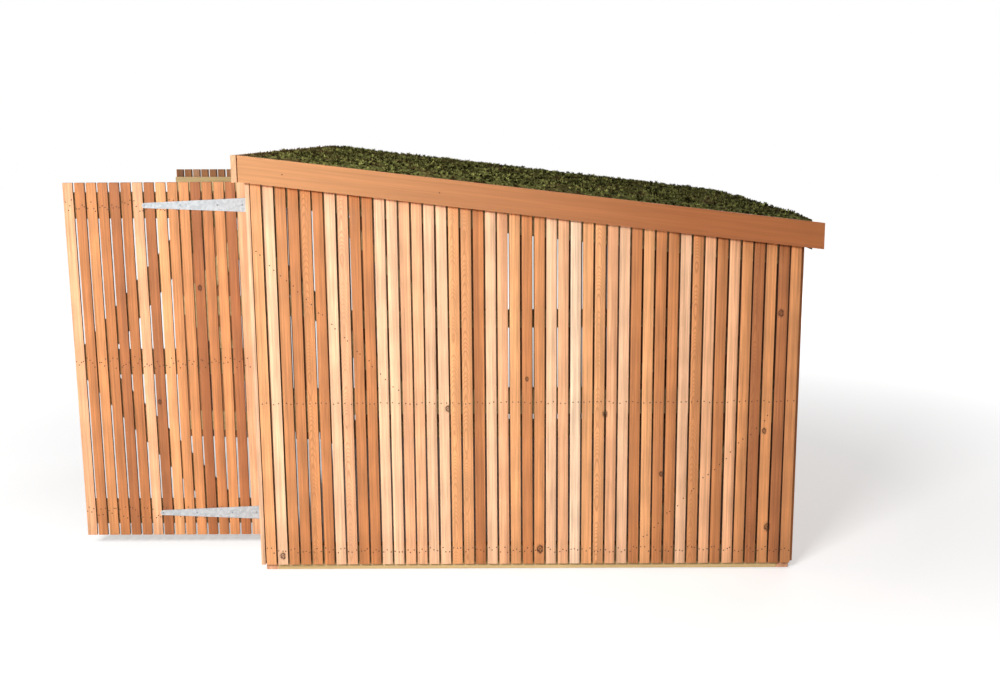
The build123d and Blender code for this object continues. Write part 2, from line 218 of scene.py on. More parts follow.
# Side cladding: narrow planed cedar slats nailed upright to the rails with a thin gap between them.
# Boards from heart and sap differ from cream to red-brown, and most are a little bowed.
slat_width = 0.039
slat_gap = 0.006
slat_pitch = slat_width + slat_gap
slat_thickness = 0.016
slat_eased_edge = 0.0015
slat_cuts = 7
slat_bow = 0.0011
slat_lean = 0.0008
slat_shades = (0.96, 1.04)
slat_seeds = (0, 40)
slat_smooth = radians(35)
slat_tones = {
    "c": (249, 210, 175),
    "l": (248, 197, 156),
    "p": (243, 181, 135),
    "o": (234, 167, 113),
    "t": (218, 148, 95),
    "b": (200, 130, 80),
    "d": (176, 110, 67),
}
slat_tone_shares = (2, 5, 6, 7, 8, 5, 2)
near_side_order = "oltbTblPbbllppllOOblpobtlpcoOplbobblTpbptDtdt"
near_side_knots = (
    (-0.589, 0.060, 0.011),
    (0.056, 0.640, 0.010),
    (0.354, 0.753, 0.007),
    (0.403, 0.084, 0.013),
    (0.648, 0.617, 0.010),
    (0.863, 0.381, 0.008),
    (1.249, 0.548, 0.009),
    (1.273, 0.169, 0.012),
    (1.296, 0.998, 0.011),
)
far_side_knots = ((-0.41, 0.52, 0.011), (0.14, 1.08, 0.009), (0.73, 0.29, 0.012), (1.04, 0.86, 0.010))
knot_stretch = (1, 0.4, 0.7)
knot_ragged = 0.3
knot_fade = (1.3, 0.75)
knot_rings = 9.0
knot_depth = (0.4, 1.0)
knot_colour = (66, 32, 13)
ring_colour = (150, 84, 44)
# Painted shade laid on the slat sides in the gaps between slats.
gap_shade_colour = (40, 22, 12)
cedar_streak = (0.88, 1.10)
cedar_fibre = (0.74, 1.22)
cedar_slope = 0.14
cedar_wander = (0.94, 1.06)
wander_pace = 1.6
cedar_lines = (0.05, 0.4)
cedar_roughness = (0.52, 0.72)
cedar_relief = (0.2, 0.0005)
arch_spacing = 230.0
arch_drift = 40.0
arch_bow = 15.0
arch_middle = -0.3
arch_line = (0.3, 1.0)
arch_share = 0.46
# Slat backs face into the shelter and are darkened as painted shade.
painted_back_shade = 0.6
# Share of painted shade in the gaps of the wall slats.
wall_gap_shade_share = 0.9
chance = random.Random(7)


def deselect_all():
    """Leave nothing selected, so that an operator acts only on what is made next."""
    if bpy.context.object and bpy.context.object.mode != "OBJECT":
        bpy.ops.object.mode_set(mode="OBJECT")
    bpy.ops.object.select_all(action="DESELECT")


def pick(piece):
    """Select one piece by itself and make it active."""
    deselect_all()
    piece.select_set(True)
    bpy.context.view_layer.objects.active = piece


def copy_of(master):
    """A copy of a modelled piece with its own mesh."""
    twin = master.copy()
    twin.data = master.data.copy()
    bpy.context.collection.objects.link(twin)
    return twin


def join_pieces(pieces, name, place):
    """Join copies into one mesh, set it in its place and apply that."""
    pick(pieces[0])
    for piece in pieces:
        piece.select_set(True)
    bpy.ops.object.join()
    joined = bpy.context.object
    joined.name = name
    joined.matrix_world = place
    bpy.ops.object.transform_apply(location=True, rotation=True, scale=True)
    return joined


def model_slat(length, taper):
    """One slat on the origin: X across its face, Y through it from its outer face, Z along it."""
    deselect_all()
    bpy.ops.mesh.primitive_cube_add(size=1, location=(slat_width / 2, slat_thickness / 2, length / 2))
    slat = bpy.context.object
    slat.scale = (slat_width, slat_thickness, length)
    bpy.ops.object.transform_apply(location=True, rotation=True, scale=True)
    bpy.ops.object.mode_set(mode="EDIT")
    bpy.ops.mesh.select_all(action="SELECT")
    bpy.ops.mesh.bevel(offset=slat_eased_edge, segments=2, affect="EDGES")
    for cut in range(1, slat_cuts + 1):
        bpy.ops.mesh.select_all(action="SELECT")
        bpy.ops.mesh.bisect(plane_co=(0, 0, length * cut / (slat_cuts + 1)), plane_no=(0, 0, 1))
    bpy.ops.object.mode_set(mode="OBJECT")
    place = slat.data.attributes.new("board_place", "FLOAT_VECTOR", "POINT")
    for vertex, spot in zip(slat.data.vertices, place.data):
        spot.vector = (2 * vertex.co.x / slat_width - 1, vertex.co.y / slat_thickness, vertex.co.z)
        vertex.co.x -= taper * spot.vector.x * spot.vector.y
    return slat


def random_order(count):
    """A run of slat tones for a side that isn't sorted by hand."""
    return "".join(chance.choices(list(slat_tones), slat_tone_shares, k=count))


def slat_row(name, order, length, place, taper=0.0):
    """A row from one modelled slat: each copy has its own bow, tone and grain, and capitals are arched."""
    master = model_slat(length, taper)
    copies = []
    for number, tone in enumerate(order):
        slat = copy_of(master)
        bow = chance.uniform(-slat_bow, slat_bow)
        lean = chance.uniform(-slat_lean, slat_lean)
        for vertex in slat.data.vertices:
            share = vertex.co.z / length
            vertex.co.x += number * slat_pitch + bow * sin(pi * share) + lean * (2 * share - 1)
        seed = slat.data.attributes.new("board_seed", "FLOAT", "POINT")
        board_seed = chance.uniform(*slat_seeds)
        seed.data.foreach_set("value", [board_seed] * len(seed.data))
        colour = slat.data.attributes.new("board_tone", "FLOAT_COLOR", "POINT")
        shade = chance.uniform(*slat_shades)
        tint = [min(1.0, channel * shade) for channel in screen_colour(slat_tones[tone.lower()])[:3]]
        colour.data.foreach_set("color", [*tint, 1.0] * len(colour.data))
        figure = slat.data.attributes.new("board_figure", "FLOAT", "POINT")
        figure.data.foreach_set("value", [float(tone.isupper())] * len(figure.data))
        # Outer sides of a row's end slats face open air, so they are kept out of the painted shade in the
        # gaps.
        for spot in slat.data.attributes["board_place"].data:
            if number + spot.vector.x < -0.5 or number + spot.vector.x > len(order) - 0.5:
                spot.vector.y = 0
        copies.append(slat)
    bpy.data.objects.remove(master)
    row = join_pieces(copies, name, place)
    bpy.ops.object.shade_smooth_by_angle(angle=slat_smooth)
    return row


def cut_to_roof(row, front_x, front_top):
    """Saw the tops of a row to the roof's fall."""
    pick(row)
    bpy.ops.object.mode_set(mode="EDIT")
    bpy.ops.mesh.select_all(action="SELECT")
    fall = (sin(roof_pitch), 0, cos(roof_pitch))
    bpy.ops.mesh.bisect(plane_co=(front_x, 0, front_top), plane_no=fall, use_fill=True, clear_outer=True)
    bpy.ops.object.mode_set(mode="OBJECT")


def build_knot_group():
    """One knot: a dark eye with rings, drawn out a little along the board."""
    group = bpy.data.node_groups.new("cedar knot", "ShaderNodeTree")
    for name, kind in (("Vector", "Vector"), ("Centre", "Vector"), ("Radius", "Float")):
        group.interface.new_socket(name, in_out="INPUT", socket_type="NodeSocket" + kind)
    group.interface.new_socket("Eye", in_out="OUTPUT", socket_type="NodeSocketFloat")
    given = put(group, "NodeGroupInput").outputs
    values = {0: given["Vector"], 1: given["Centre"]}
    offset = put(group, "ShaderNodeVectorMath", values, operation="SUBTRACT").outputs[0]
    values = {0: offset, 1: knot_stretch}
    flat = put(group, "ShaderNodeVectorMath", values, operation="MULTIPLY").outputs[0]
    distance = put(group, "ShaderNodeVectorMath", {0: flat}, operation="LENGTH").outputs["Value"]
    ragged = put(group, "ShaderNodeTexNoise", {"Vector": offset, "Scale": 140.0}).outputs["Fac"]
    ragged = remap(group, ragged, 0.2, 0.8, -knot_ragged, knot_ragged)
    reach = calc(group, "ADD", calc(group, "DIVIDE", distance, given["Radius"]), ragged)
    fade = remap(group, reach, *knot_fade)
    wave = calc(group, "COSINE", calc(group, "MULTIPLY", reach, knot_rings))
    depth = remap(group, wave, -1, 1, *knot_depth)
    eye = calc(group, "MULTIPLY", fade, depth)
    taken = put(group, "NodeGroupOutput")
    group.links.new(eye, taken.inputs["Eye"])
    return group


knot_group = build_knot_group()


def cedar_material(name, knots=(), face=0.0, gap_shade_share=wall_gap_shade_share):
    """Planed cedar: each slat's tone, grain and figure, painted shade in gaps and on backs, and knots at x,
    z, radius.
    """
    material, tree, shader, coordinates = start_material(name)
    seed = put(tree, "ShaderNodeAttribute", attribute_name="board_seed").outputs["Fac"]
    tone = put(tree, "ShaderNodeAttribute", attribute_name="board_tone").outputs["Color"]
    place = put(tree, "ShaderNodeAttribute", attribute_name="board_place").outputs["Vector"]
    across, depth, height = put(tree, "ShaderNodeSeparateXYZ", {0: place}).outputs
    luck = put(tree, "ShaderNodeTexWhiteNoise", {"W": seed}, noise_dimensions="1D").outputs["Color"]
    sapwood, lined = put(tree, "ShaderNodeSeparateColor", {0: luck}).outputs[:2]
    arched = put(tree, "ShaderNodeAttribute", attribute_name="board_figure").outputs["Fac"]
    grain = add_grain(tree, coordinates, upright, seed).outputs
    streak = spread(tree, grain["Streaks"], *cedar_streak)
    fibre = spread(tree, grain["Fibres"], *cedar_fibre)
    slope = calc(tree, "MULTIPLY", across, remap(tree, sapwood, 0, 1, -cedar_slope, cedar_slope))
    along = calc(tree, "ADD", calc(tree, "MULTIPLY", height, wander_pace), seed)
    wander = put(tree, "ShaderNodeTexNoise", {"W": along, "Detail": 0.0}, noise_dimensions="1D")
    wander = wander.outputs["Fac"]
    slope = calc(tree, "ADD", slope, spread(tree, wander, *cedar_wander))
    shade = calc(tree, "MULTIPLY", calc(tree, "MULTIPLY", streak, fibre), slope)
    colour = mix_colours(tree, 1.0, tone, shade, "MULTIPLY")
    lines = calc(tree, "MULTIPLY", grain["Rings"], remap(tree, lined, 0.4, 1.0, *cedar_lines))
    colour = mix_colours(tree, lines, colour, screen_colour(ring_colour))
    bow = calc(tree, "POWER", calc(tree, "SUBTRACT", across, arch_middle), 2.0)
    drift = calc(tree, "MULTIPLY", wander, arch_drift)
    phase = calc(tree, "ADD", calc(tree, "MULTIPLY", height, arch_spacing), drift)
    phase = calc(tree, "ADD", phase, calc(tree, "MULTIPLY", bow, arch_bow))
    arcs = remap(tree, calc(tree, "SINE", phase), *arch_line, 0, arch_share)
    arcs = calc(tree, "MULTIPLY", arcs, remap(tree, grain["Fibres"], 0.35, 0.6))
    colour = mix_colours(tree, calc(tree, "MULTIPLY", arcs, arched), colour, screen_colour(ring_colour))
    for x, z, radius in knots:
        values = {"Vector": coordinates, "Centre": (x, face, z), "Radius": radius}
        eye = put(tree, "ShaderNodeGroup", values, node_tree=knot_group).outputs["Eye"]
        colour = mix_colours(tree, eye, colour, screen_colour(knot_colour))
    # Painted shade on the slat backs, which face into the shelter.
    back = remap(tree, depth, 0.85, 0.95, 1.0, painted_back_shade)
    colour = mix_colours(tree, 1.0, colour, back, "MULTIPLY")
    # Painted shade in the gaps: the slat sides between slats darken almost all through their depth.
    edge = calc(tree, "MULTIPLY", depth, calc(tree, "SUBTRACT", 1.0, depth))
    edge = remap(tree, edge, 0.0, 0.06, 0, gap_shade_share)
    colour = mix_colours(tree, edge, colour, screen_colour(gap_shade_colour))
    finish_wood(tree, shader, colour, grain["Fibres"], cedar_roughness, cedar_relief)
    return material


def finish_row(row, material, node, body):
    """Material and frame entries of a finished row of slats."""
    row.data.materials.append(material)
    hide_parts(node)
    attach(row, body)


half_turn = Matrix.Rotation(pi, 4, "Z")
side_low, side_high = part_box("near_side_slats")
side_length = side_high.z - side_low.z
near_side_place = Matrix.Translation(side_low)
row = slat_row("near_side_cladding", near_side_order, side_length, near_side_place)
cut_to_roof(row, side_low.x, side_high.z)
near_side_cedar = cedar_material("near side cedar", near_side_knots, side_low.y)
finish_row(row, near_side_cedar, "near_side_slats", "shelter")
far_low, far_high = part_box("far_side_slats")
far_side_place = Matrix.Translation((far_high.x, far_high.y, far_low.z)) @ half_turn
row = slat_row("far_side_cladding", random_order(len(near_side_order)), side_length, far_side_place)
cut_to_roof(row, side_low.x, side_high.z)
far_side_cedar = cedar_material("far side cedar", far_side_knots, far_high.y)
finish_row(row, far_side_cedar, "far_side_slats", "shelter")

# Rear and pier cladding: the same slats across the rear between the side slats, and six each side of
# the doorway, lapping over the ends of the side cladding.
near_pier_order = "otbpll"
far_pier_order = "tlpobt"
rear_low, rear_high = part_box("rear_slats")
rear_count = round((rear_high.y - rear_low.y + slat_gap) / slat_pitch)
rear_length = rear_high.z - rear_low.z
face_rear = Matrix.Rotation(pi / 2, 4, "Z")
rear_place = Matrix.Translation((rear_high.x, rear_low.y, rear_low.z)) @ face_rear
row = slat_row("rear_cladding", random_order(rear_count), rear_length, rear_place)
cut_to_roof(row, rear_low.x, rear_high.z)
finish_row(row, cedar_material("rear cedar"), "rear_slats", "shelter")
face_front = Matrix.Rotation(-pi / 2, 4, "Z")
pier_places = {}
for side, order in (("near", near_pier_order), ("far", far_pier_order)):
    low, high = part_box(f"{side}_pier_slats")
    pier_places[side] = Matrix.Translation((low.x, high.y, low.z)) @ face_front
    row = slat_row(f"{side}_pier_cladding", order, high.z - low.z, pier_places[side])
    cut_to_roof(row, low.x, high.z)
    finish_row(row, cedar_material(f"{side} pier cedar"), f"{side}_pier_slats", "shelter")

# Doors: ledged and braced, boarded with the same slats. The near one stands square to the front and
# shows its outer face, the far one has swung a little further and shows its back.
near_door_order = "pbtbdbpdottdbtdpo"
far_door_order = "potblptotpotttptt"
near_door_knots = ((-0.927, 1.068, 0.009), (-1.112, 0.609, 0.008))
far_door_swing = radians(7)
door_brace_angle = radians(49)
door_slat_taper = 0.002
# Share of painted shade in the gaps of the door slats.
door_gap_shade_share = 0.6
hinge_edge = 0.002
knuckle_radius = 0.006
door_low, door_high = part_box("near_door_slats")
door_length = door_high.z - door_low.z
near_door_place = Matrix.Translation(door_low)
row = slat_row("near_door_boards", near_door_order, door_length, near_door_place, door_slat_taper)
near_door_cedar = cedar_material("near door cedar", near_door_knots, door_low.y, door_gap_shade_share)
finish_row(row, near_door_cedar, "near_door_slats", "near_door")
far_pin = Vector((door_high.x + hinge_edge, knuckle_radius - door_low.y, 0))
far_hinge = Matrix.Translation(far_pin) @ Matrix.Rotation(pi - far_door_swing, 4, "Z")
far_door_place = far_hinge @ Matrix.Translation((hinge_edge, knuckle_radius, door_low.z))
row = slat_row("far_door_boards", far_door_order, door_length, far_door_place, door_slat_taper)
far_door_cedar = cedar_material("far door cedar", gap_shade_share=door_gap_shade_share)
finish_row(row, far_door_cedar, "far_door_slats", "far_door")
dress(["near_door_ledges"], treated_material("near ledges", lengthwise, 7.3))
dress(["far_door_ledges"], treated_material("far ledges", (0, 0, -far_door_swing), 8.8))
door_fold = middle_level("near_door_ledges")
near_brace_turn = (0, -door_brace_angle, 0)
far_brace_turn = (0, -door_brace_angle, -far_door_swing)
dress(["near_door_braces"], treated_material("near door braces", near_brace_turn, 9.4, door_fold))
dress(["far_door_braces"], treated_material("far door braces", far_brace_turn, 10.3, door_fold))

# Nails: small steel ones with round dished heads, dulled by rust and driven almost flush. Their dark
# brown is partly rust and partly painted shade in the dished heads. Two or three hold each slat to a
# rail, two to a brace, and a group of four to every door ledge.
nail_radius = 0.0025
nail_rise = 0.0003
nail_rim = 0.0008
nail_dish = 0.0002
nail_dark = (44, 24, 14)
nail_rust = (86, 50, 30)
base_nail_level = 0.081
mid_nail_level = 0.662
ledge_levels = (0.147, 0.770, 1.392)
nail_stray = 0.003
brace_slope = 1.0355
upper_brace_foot = (-0.612, 1.210)
lower_brace_foot = (0.768, 0.095)
brace_nail_shares = (0.25, 0.6)
brace_nail_stray = (0.004, 0.008)
upper_brace_levels = (0.71, 1.25)
lower_brace_levels = (0.10, 0.61)


def model_nail():
    """One nail head on the origin, facing -Y: a thin disc with a dished middle."""
    deselect_all()
    turn = (pi / 2, 0, 0)
    bpy.ops.mesh.primitive_cylinder_add(vertices=8, radius=nail_radius, depth=2 * nail_rise, rotation=turn)
    bpy.ops.object.transform_apply(location=True, rotation=True, scale=True)
    nail = bpy.context.object
    bpy.ops.object.mode_set(mode="EDIT")
    bpy.ops.mesh.select_mode(type="FACE")
    bpy.ops.mesh.select_all(action="DESELECT")
    bpy.ops.object.mode_set(mode="OBJECT")
    for face in nail.data.polygons:
        face.select = face.normal.y < -0.9
    bpy.ops.object.mode_set(mode="EDIT")
    bpy.ops.mesh.inset(thickness=nail_rim)
    bpy.ops.transform.translate(value=(0, nail_dish, 0))
    bpy.ops.object.mode_set(mode="OBJECT")
    return nail


def nail_heads(name, spots, place, body):
    """Nail heads at across, up positions on the face of a row of slats."""
    master = model_nail()
    heads = []
    for across, up in spots:
        head = copy_of(master)
        head.data.transform(Matrix.Translation((across, 0, up)))
        heads.append(head)
    bpy.data.objects.remove(master)
    nails = join_pieces(heads, name, place)
    nails.data.materials.append(nail_material)
    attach(nails, body)


def rail_spots(count, level, heads, scatter):
    """Spots where the slats of a row cross a rail at a level."""
    spots = []
    for number in range(count):
        for head in range(heads):
            middle = number * slat_pitch + slat_width * (head + 0.5) / heads
            across = middle + chance.uniform(-nail_stray, nail_stray)
            spots.append((across, level + chance.uniform(-scatter, scatter)))
    return spots


def brace_spots(foot, slope, levels):
    """Spots where the slats of a side cross a brace, given by a point on it and its slope."""
    spots = []
    aside, off = brace_nail_stray
    for number in range(len(near_side_order)):
        for share in brace_nail_shares:
            across = (number + share) * slat_pitch + chance.uniform(-aside, aside)
            up = foot[1] + slope * (side_low.x + across - foot[0]) + chance.uniform(-off, off)
            if levels[0] < up < levels[1]:
                spots.append((across, up - side_low.z))
    return spots


nail_material, tree, shader, coordinates = start_material("nail heads")
# The dark browns are partly rust and partly painted shade in the dished heads.
rust_and_shade = put(tree, "ShaderNodeTexNoise", {"Vector": coordinates, "Scale": 300.0}).outputs["Fac"]
colour = mix_colours(tree, rust_and_shade, screen_colour(nail_dark), screen_colour(nail_rust))
tree.links.new(colour, shader.inputs["Base Color"])
shader.inputs["Roughness"].default_value = 0.7
base_up = base_nail_level - side_low.z
mid_up = mid_nail_level - side_low.z
for side, place in (("near", near_side_place), ("far", far_side_place)):
    spots = rail_spots(len(near_side_order), base_up, heads=3, scatter=0.011)
    spots += rail_spots(len(near_side_order), mid_up, heads=2, scatter=0.004)
    crossings = brace_spots(upper_brace_foot, -brace_slope, upper_brace_levels)
    crossings += brace_spots(lower_brace_foot, brace_slope, lower_brace_levels)
    if side == "far":
        crossings = [(side_high.x - side_low.x - across, up) for across, up in crossings]
    nail_heads(f"{side}_side_nails", spots + crossings, place, "shelter")
    spots = rail_spots(len(near_pier_order), base_up, heads=2, scatter=0.010)
    spots += rail_spots(len(near_pier_order), mid_up, heads=2, scatter=0.006)
    nail_heads(f"{side}_pier_nails", spots, pier_places[side], "shelter")
spots = rail_spots(rear_count, base_up, heads=2, scatter=0.010)
spots += rail_spots(rear_count, mid_up, heads=2, scatter=0.006)
nail_heads("rear_nails", spots, rear_place, "shelter")
for side, place in (("near", near_door_place), ("far", far_door_place)):
    spots = []
    for level in ledge_levels:
        spots += rail_spots(len(near_door_order), level - door_low.z, heads=4, scatter=0.024)
    nail_heads(f"{side}_door_nails", spots, place, f"{side}_door")

# Strap hinges: galvanised steel tee hinges, a long tapered strap bolted across each door and a cross
# plate on the pier.
zinc_light = (204, 208, 210)
zinc_dark = (178, 183, 186)
bolt_light = (184, 188, 192)
bolt_dark = (122, 124, 126)
bolt_radius = 0.0045
bolt_dome = 0.5
bolt_smooth = radians(40)
bolt_reach = (0.066, 0.163, 0.307, 0.447)
strap_depth = 0.003
plate_middle = 0.029
plate_screws = ((-0.009, -0.056), (0.009, -0.030), (-0.009, 0.030), (0.009, 0.056))


def model_bolt():
    """One round bolt head on the origin: a low dome that faces -Y."""
    deselect_all()
    bpy.ops.mesh.primitive_uv_sphere_add(segments=16, ring_count=8, radius=bolt_radius)
    bolt = bpy.context.object
    bolt.scale = (1, bolt_dome, 1)
    bpy.ops.object.transform_apply(location=True, rotation=True, scale=True)
    bpy.ops.object.mode_set(mode="EDIT")
    bpy.ops.mesh.select_all(action="SELECT")
    bpy.ops.mesh.bisect(plane_co=(0, 0, 0), plane_no=(0, 1, 0), use_fill=True, clear_outer=True)
    bpy.ops.object.mode_set(mode="OBJECT")
    return bolt


zinc_material, tree, shader, coordinates = start_material("galvanised steel")
spangle = put(tree, "ShaderNodeTexVoronoi", {"Vector": coordinates, "Scale": 110.0}).outputs["Color"]
tint = put(tree, "ShaderNodeSeparateColor", {0: spangle}).outputs[0]
colour = mix_colours(tree, tint, screen_colour(zinc_dark), screen_colour(zinc_light))
tree.links.new(colour, shader.inputs["Base Color"])
shader.inputs["Metallic"].default_value = 0.15
shader.inputs["Specular IOR Level"].default_value = 0.2
tree.links.new(remap(tree, tint, 0, 1, 0.65, 0.8), shader.inputs["Roughness"])
dress([f"{side}_{piece}" for side in sides for piece in ("door_straps", "hinge_plates")], zinc_material)
bolt_material, tree, shader, coordinates = start_material("bolt heads")
wear = put(tree, "ShaderNodeTexNoise", {"Vector": coordinates, "Scale": 400.0}).outputs["Fac"]
colour = mix_colours(tree, wear, screen_colour(bolt_dark), screen_colour(bolt_light))
tree.links.new(colour, shader.inputs["Base Color"])
shader.inputs["Metallic"].default_value = 0.6
shader.inputs["Roughness"].default_value = 0.45
near_pin = Vector((far_pin.x, -far_pin.y, 0))


def bolt_heads(name, spots, place, body):
    """Bolt heads at across, up spots on the strap or plate of both hinges of a door."""
    master = model_bolt()
    heads = []
    for level in (ledge_levels[0], ledge_levels[2]):
        for across, up in spots:
            head = copy_of(master)
            head.data.transform(Matrix.Translation((across, strap_depth, level + up)))
            heads.append(head)
    bpy.data.objects.remove(master)
    bolts = join_pieces(heads, name, place)
    bpy.ops.object.shade_smooth_by_angle(angle=bolt_smooth)
    bolts.data.materials.append(bolt_material)
    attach(bolts, body)


near_hinge = Matrix.Translation(near_pin)
for side, pin, hinge, way in (("near", near_pin, near_hinge, -1), ("far", far_pin, far_hinge, 1)):
    bolt_heads(f"{side}_strap_bolts", [(way * reach, 0) for reach in bolt_reach], hinge, f"{side}_door")
    spots = [(across - way * plate_middle, up) for across, up in plate_screws]
    bolt_heads(f"{side}_plate_screws", spots, Matrix.Translation(pin) @ face_front, "shelter")

# Roof: a plywood deck on the rafters, cedar fascias round it, and a rubber liner turned up behind
# them that ends in a drip edge at the rear. The side boards darken from sapwood to heart.
fascia_sap = (220, 172, 130)
fascia_pale = (206, 145, 95)
fascia_red = (168, 100, 56)
side_fascia_span = (-0.75, 0.95)
front_fascia_span = (0.0, 4.0)
rear_fascia_span = (-2.0, 2.0)
fascia_streak = (0.89, 1.08)
fascia_fibre = (0.91, 1.07)
fascia_rings = (1.01, 0.96)
fascia_roughness = (0.5, 0.68)
fascia_relief = (0.15, 0.0004)
fascia_nails = ((-0.531, 1.518), (0.038, 1.449))


def fascia_material(name, turn, seed, pale, pale_x, red_x):
    """Planed cedar board that runs from pale to red along X, with faint level grain."""
    material, tree, shader, coordinates = start_material(name)
    grain = add_grain(tree, coordinates, turn, seed).outputs
    place = put(tree, "ShaderNodeSeparateXYZ", {0: coordinates}).outputs[0]
    share = remap(tree, place, pale_x, red_x)
    colour = mix_colours(tree, share, screen_colour(pale), screen_colour(fascia_red))
    streak = spread(tree, grain["Streaks"], *fascia_streak)
    fibre = spread(tree, grain["Fibres"], *fascia_fibre)
    ring = remap(tree, grain["Rings"], 0, 1, *fascia_rings)
    shade = calc(tree, "MULTIPLY", calc(tree, "MULTIPLY", streak, fibre), ring)
    colour = mix_colours(tree, 1.0, colour, shade, "MULTIPLY")
    finish_wood(tree, shader, colour, grain["Fibres"], fascia_roughness, fascia_relief)
    return material


side_fascia = fascia_material("side fascias", roof_fall, 11.0, fascia_pale, *side_fascia_span)
front_fascia = fascia_material("front fascia", crosswise, 12.5, fascia_sap, *front_fascia_span)
rear_fascia = fascia_material("rear fascia", crosswise, 14.2, fascia_pale, *rear_fascia_span)
dress(["near_fascia", "far_fascia"], side_fascia)
dress(["front_fascia"], front_fascia)
dress(["rear_fascia"], rear_fascia)
fascia_low, fascia_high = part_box("near_fascia")
near_face = Matrix.Translation((0, fascia_low.y, 0))
nail_heads("near_fascia_nails", fascia_nails, near_face, "shelter")
mirrored = [(-across, up) for across, up in fascia_nails]
nail_heads("far_fascia_nails", mirrored, half_turn @ near_face, "shelter")
ply_light = (214, 178, 130)
ply_dark = (186, 146, 98)
ply_ring = (160, 118, 74)
dress(["roof_deck"], timber_material("plywood", ply_light, ply_dark, ply_ring, crosswise, 13.9))
liner_dark = (56, 46, 38)
liner_dust = (116, 92, 72)
dust_share = 0.6
liner_material, tree, shader, coordinates = start_material("roof liner")
specks = {"Vector": coordinates, "Scale": 30.0, "Detail": 4.0}
specks = put(tree, "ShaderNodeTexNoise", specks).outputs["Fac"]
dust = remap(tree, specks, 0.35, 0.75, 0, dust_share)
colour = mix_colours(tree, dust, screen_colour(liner_dark), screen_colour(liner_dust))
tree.links.new(colour, shader.inputs["Base Color"])
shader.inputs["Roughness"].default_value = 0.8
dress(["roof_liner", "rear_drip_edge"], liner_material)

# Planting: a mat of low moss and sedum in thin soil, dark olive with brown patches. It is level with
# the fascias round its edges and swells into hummocks, with loose sprigs standing all over it. Its
# near-black darks and its darker and lighter clumps are partly painted shade and light among the sprigs.
mat_rise = 0.011
mat_front = -0.690
mat_edge_drop = 0.013
mat_edge_reach = 0.07
mat_front_drop = 0.006
mat_front_reach = 0.16
mat_rear_lift = 0.011
mat_skirt = 0.04
mat_cells = 220
hummock_size = 0.10
hummock_height = 0.016
tuft_size = 0.018
tuft_height = 0.012
# The near-black end is partly the moss's own dark and partly painted shade between the sprigs.
moss_dark = (27, 23, 2)
moss_green = (196, 197, 116)
moss_brown = (112, 86, 58)
moss_scale = 130.0
moss_share = 0.8
moss_fall = (1.05, 0.62)
patch_scale = 7.0
patch_share = 0.8
bare_share = 0.85
clump_scale = 42.0
clump_shade = (0.6, 1.35)
sprig_contrast = 2.2
leaf_length = 0.0105
leaf_width = 0.0042
leaf_lift = radians(50)
leaf_count = 5
sprig_density = 3200
sprig_tilt = 0.5
sprig_sizes = (0.6, 1.7)
mat_low, mat_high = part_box("planted_mat")


def select_rim(piece, run):
    """Select the mat's open edge in edit mode: all of it, or just its front or rear run."""
    bpy.ops.mesh.select_mode(type="EDGE")
    bpy.ops.mesh.select_all(action="DESELECT")
    bpy.ops.mesh.select_non_manifold(use_wire=False, use_multi_face=False, use_non_contiguous=False)
    if run != "all":
        bpy.ops.object.mode_set(mode="OBJECT")
        furthest = min if run == "front" else max
        end = furthest(vertex.co.x for vertex in piece.data.vertices)
        for vertex in piece.data.vertices:
            vertex.select = vertex.select and abs(vertex.co.x - end) < 0.001
        for edge in piece.data.edges:
            edge.select = all(piece.data.vertices[index].select for index in edge.vertices)
        bpy.ops.object.mode_set(mode="EDIT")


def add_relief(piece, name, size, height):
    """Displace a mesh along its normals by a cloudy pattern."""
    pattern = bpy.data.textures.new(name, "CLOUDS")
    pattern.noise_scale = size
    relief = piece.modifiers.new(name, "DISPLACE")
    relief.texture = pattern
    relief.texture_coords = "GLOBAL"
    relief.strength = height
    bpy.ops.object.modifier_apply(modifier=name)


def moss_material(name, tone_attribute=""):
    """Moss from dark to green with brown patches, and each sprig in its own tone where it has one."""
    material, tree, shader, coordinates = start_material(name)
    if tone_attribute:
        tone = put(tree, "ShaderNodeAttribute", attribute_name=tone_attribute).outputs["Fac"]
        share = calc(tree, "POWER", tone, sprig_contrast)
    else:
        cells = {"Vector": coordinates, "Scale": moss_scale, "Detail": 3.0}
        cells = put(tree, "ShaderNodeTexNoise", cells).outputs["Fac"]
        share = remap(tree, cells, 0.35, 0.68, 0, moss_share)
    colour = mix_colours(tree, share, screen_colour(moss_dark), screen_colour(moss_green))
    patch = {"Vector": coordinates, "Scale": patch_scale, "Detail": 4.0}
    patch = put(tree, "ShaderNodeTexNoise", patch).outputs["Fac"]
    patch = remap(tree, patch, 0.52, 0.68, 0, patch_share)
    colour = mix_colours(tree, patch, colour, screen_colour(moss_brown))
    place = put(tree, "ShaderNodeSeparateXYZ", {0: coordinates}).outputs[0]
    bare = remap(tree, place, mat_front + mat_front_reach, mat_front, 0, bare_share)
    colour = mix_colours(tree, bare, colour, screen_colour(moss_brown))
    # Lighter and darker clumps: partly the moss's own tone, partly painted light and shade among the
    # sprigs.
    clumps = put(tree, "ShaderNodeTexNoise", {"Vector": coordinates, "Scale": clump_scale})
    clumps = remap(tree, clumps.outputs["Fac"], 0.35, 0.65, *clump_shade)
    # The moss also darkens towards the rear end.
    shade = calc(tree, "MULTIPLY", clumps, remap(tree, place, -0.6, 1.4, *moss_fall))
    colour = mix_colours(tree, 1.0, colour, shade, "MULTIPLY")
    tree.links.new(colour, shader.inputs["Base Color"])
    shader.inputs["Roughness"].default_value = 0.9
    shader.inputs["Specular IOR Level"].default_value = 0.02
    return material


